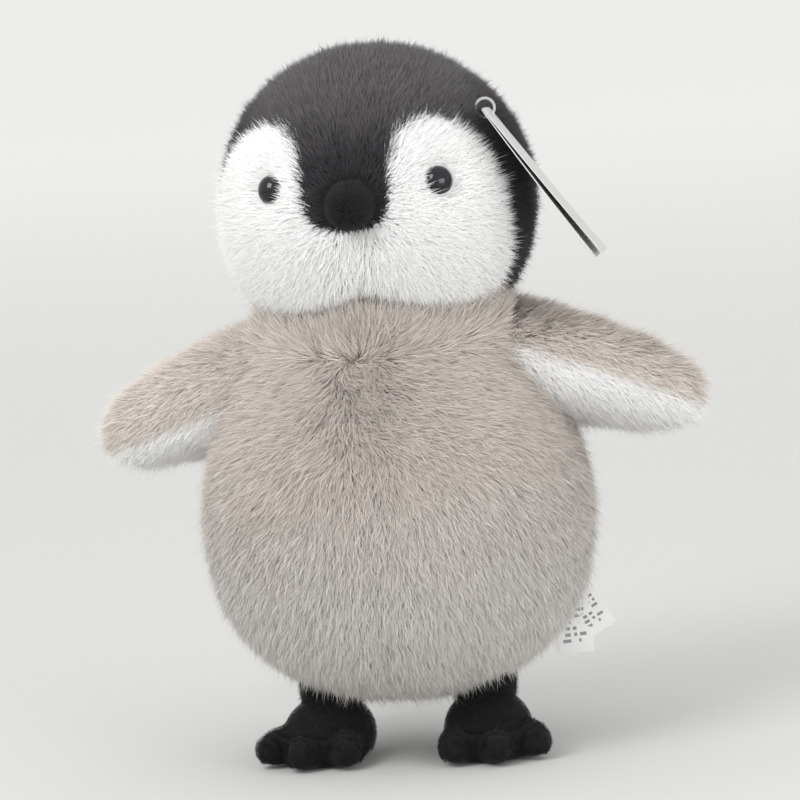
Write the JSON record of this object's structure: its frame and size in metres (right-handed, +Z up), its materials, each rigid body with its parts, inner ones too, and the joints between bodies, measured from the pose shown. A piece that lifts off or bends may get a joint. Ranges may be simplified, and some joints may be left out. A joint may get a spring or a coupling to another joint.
{
  "type": "plush penguin",
  "caption": "Standing stuffed penguin chick with a pear-shaped body, a round head, two flippers, short legs and three-toed feet.",
  "frame": {"origin": "on the floor under the middle of the toy, at the soles' level", "axes": "+Z up, -Y the toy's front, +X the toy's own left"},
  "size_m": [0.3085, 0.1786, 0.354],
  "materials": {
    "taupe_pile": "long soft pile, warm grey",
    "charcoal_pile": "long soft pile, charcoal",
    "white_pile": "long soft pile, white",
    "black_pile": "short dense pile, black",
    "foot_velour": "short-nap velour, black",
    "eye_gloss": "polished",
    "clear_plastic": "natural nylon",
    "fill": "polyester fibre fill",
    "tag_card": "coated card, grey inside and black outside",
    "satin_label": "woven satin ribbon"
  },
  "bodies": {
    "torso": {"body_front_left": "taupe_pile", "body_front_right": "taupe_pile", "body_back_left": "taupe_pile", "body_back_right": "taupe_pile", "body_base": "taupe_pile", "body_stuffing": "fill", "care_label": "satin_label"},
    "neck": {"neck_stuffing": "fill"},
    "head": {"hood_left": "charcoal_pile", "hood_right": "charcoal_pile", "cheek_left": "white_pile", "cheek_right": "white_pile", "eye_left": "eye_gloss", "eye_right": "eye_gloss", "eye_washer_left": "clear_plastic", "eye_washer_right": "clear_plastic", "beak": "black_pile", "tag_loop": "clear_plastic", "head_stuffing": "fill"},
    "tag": {"swing_tag": "tag_card"},
    "wing_left": {"wing_outer_left": "taupe_pile", "wing_inner_left": "white_pile", "wing_stuffing_left": "fill"},
    "wing_right": {"wing_outer_right": "taupe_pile", "wing_inner_right": "white_pile", "wing_stuffing_right": "fill"},
    "leg_left": {"shank_left": "black_pile", "foot_sole_left": "foot_velour", "foot_upper_left": "foot_velour", "foot_stuffing_left": "fill"},
    "leg_right": {"shank_right": "black_pile", "foot_sole_right": "foot_velour", "foot_upper_right": "foot_velour", "foot_stuffing_right": "fill"}
  },
  "joints": [
    {"name": "head_turn", "type": "hinge", "parent": "torso", "child": "neck", "pos_m": [0, 0, 0.275], "axis": [0, 0, 1], "range_deg": [-20, 20], "stiffness_Nm_per_rad": 0.6},
    {"name": "head_nod", "type": "hinge", "parent": "neck", "child": "head", "pos_m": [0, 0, 0.275], "axis": [1, 0, 0], "range_deg": [-12, 12], "stiffness_Nm_per_rad": 0.8},
    {"name": "tag_swing", "type": "hinge", "parent": "head", "child": "tag", "pos_m": [0.0635, -0.026, 0.3165], "axis": [-0.0719, 0.9962, -0.0492], "range_deg": [-35, 0]},
    {"name": "wing_left_flap", "type": "hinge", "parent": "torso", "child": "wing_left", "pos_m": [0.074, 0.006, 0.194], "axis": [0, 1, 0], "range_deg": [-45, 25], "stiffness_Nm_per_rad": 0.35},
    {"name": "wing_right_flap", "type": "hinge", "parent": "torso", "child": "wing_right", "pos_m": [-0.074, 0.006, 0.188], "axis": [0, -1, 0], "range_deg": [-45, 25], "stiffness_Nm_per_rad": 0.35},
    {"name": "leg_left_swing", "type": "hinge", "parent": "torso", "child": "leg_left", "pos_m": [0.0385, -0.008, 0.044], "axis": [-1, 0, 0], "range_deg": [-20, 22], "stiffness_Nm_per_rad": 2.5},
    {"name": "leg_right_swing", "type": "hinge", "parent": "torso", "child": "leg_right", "pos_m": [-0.0385, -0.008, 0.044], "axis": [-1, 0, 0], "range_deg": [-20, 22], "stiffness_Nm_per_rad": 2.5}
  ]
}
